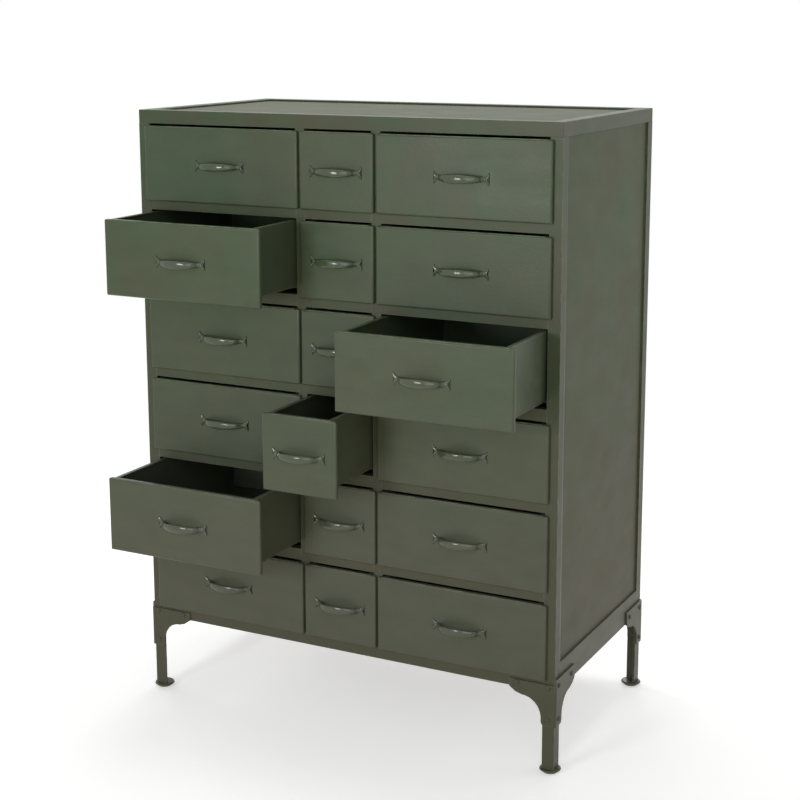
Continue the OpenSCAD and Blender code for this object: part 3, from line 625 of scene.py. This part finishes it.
end = add_node(bow_tree, "ShaderNodeMath", {0: centre.outputs["X"]}, operation="SIGN")
notch = add_node(bow_tree, "ShaderNodeMath", {0: notch.outputs[0], 1: end.outputs[0]},
                 operation="MULTIPLY")
notch = add_node(bow_tree, "ShaderNodeMath", {0: notch.outputs[0], 1: -1.0},
                 operation="MULTIPLY")
move = add_node(bow_tree, "ShaderNodeCombineXYZ", {"X": notch.outputs[0], "Z": rise.outputs[0]})
swept = add_node(bow_tree, "ShaderNodeVectorMath", {
    0: kept.outputs["Centre"], 1: spread.outputs[0]}, operation="ADD")
swept = add_node(bow_tree, "ShaderNodeVectorMath", {0: swept.outputs[0], 1: move.outputs[0]},
                 operation="ADD")
swept = add_node(bow_tree, "ShaderNodeSeparateXYZ", {0: swept.outputs[0]})
pressed = add_node(bow_tree, "ShaderNodeMath", {0: swept.outputs["Y"], 1: 0.0},
                   operation="MINIMUM")
# The last millimetre rounds down to the front, and keeps a trace of thickness at the very end
edge_start = add_node(bow_tree, "ShaderNodeMath", {
    0: given["Half length"], 1: given["Edge radius"]}, operation="SUBTRACT")
edge_share = add_node(bow_tree, "ShaderNodeMapRange", {
    "Value": from_middle.outputs[0], "From Min": edge_start.outputs[0],
    "From Max": given["Half length"]})
edge_share = add_node(bow_tree, "ShaderNodeMath", {
    0: edge_share.outputs[0], 1: edge_share.outputs[0]}, operation="MULTIPLY")
edge_share = add_node(bow_tree, "ShaderNodeMath", {0: 1.02, 1: edge_share.outputs[0]},
                      operation="SUBTRACT")
edge_share = add_node(bow_tree, "ShaderNodeMath", {0: edge_share.outputs[0]}, operation="SQRT")
pressed = add_node(bow_tree, "ShaderNodeMath", {0: pressed.outputs[0], 1: edge_share.outputs[0]},
                   operation="MULTIPLY")
seated = add_node(bow_tree, "ShaderNodeCombineXYZ", {
    "X": swept.outputs["X"], "Y": pressed.outputs[0], "Z": swept.outputs["Z"]})
bow = add_node(bow_tree, "GeometryNodeSetPosition", {
    "Geometry": tube.outputs["Mesh"], "Position": seated.outputs[0]})
bow = add_node(bow_tree, "GeometryNodeSetShadeSmooth", {"Geometry": bow.outputs[0]})
pins = add_node(bow_tree, "GeometryNodeObjectInfo", {"Object": given["Rivets"]})
handle_parts = add_node(bow_tree, "GeometryNodeJoinGeometry", {"Geometry": bow.outputs[0]})
bow_tree.links.new(pins.outputs["Geometry"], handle_parts.inputs[0])
handle_parts = add_node(bow_tree, "GeometryNodeRealizeInstances", {0: handle_parts.outputs[0]})
handle_parts = add_node(bow_tree, "GeometryNodeSetMaterial", {
    "Geometry": handle_parts.outputs[0], "Material": given["Paint"]})
add_node(bow_tree, "NodeGroupOutput", {0: handle_parts.outputs[0]})

pin_place, pin_seat = handle_half - pin_inset, foot_thickness - pin_sink
base = points_facing("pin_places", [(-pin_place, -pin_seat, 0), (pin_place, -pin_seat, 0)],
                     [(0, -1, 0)] * 2)
pins_mesh = grow(rivet_tree, base, {
    "Head radius": pin_head_radius, "Head height": pin_head_height,
    "Shank radius": pin_shank_radius, "Tail height": tail_height,
    "Grip": pin_seat + front_sheet + box_sheet, "Paint": handle_enamel}, "handle_rivets")
bpy.data.objects.remove(base)
pins_object = add_object("handle_rivets", pins_mesh)
base = add_object("bow_middle_line", bow_curve)
handle_mesh = grow(bow_tree, base, {
    "Rivets": pins_object, "Thickness": bar_thickness, "Height": bar_height,
    "Waist height": waist_height, "Waist place": waist_place,
    "Instep length": instep_centre[0] - waist_place,
    "Foot half thickness": foot_thickness - foot_middle, "Flare radius": flare_radius,
    "Half length": handle_half, "Notch depth": notch_depth, "Ear radius": ear_radius,
    "Ear crest": foot_spread / 2 - ear_radius, "Foot half spread": foot_spread / 2,
    "Edge radius": foot_edge, "Roundness": roundness, "Paint": handle_enamel}, "bow_handle")
bpy.data.objects.remove(base)
bpy.data.objects.remove(pins_object)

for row, column in grid:
    name = f"handle_r{row}c{column}"
    low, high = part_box(name)
    mesh = handle_mesh.copy()
    mesh.transform(Matrix.Translation((
        (low.x + high.x) / 2, low.y + crown_reach + bar_thickness / 2, (low.z + high.z) / 2)))
    handle = add_object(f"bow_{name}", mesh)
    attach(handle, f"drawer_body_r{row}c{column}")
    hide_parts(name)
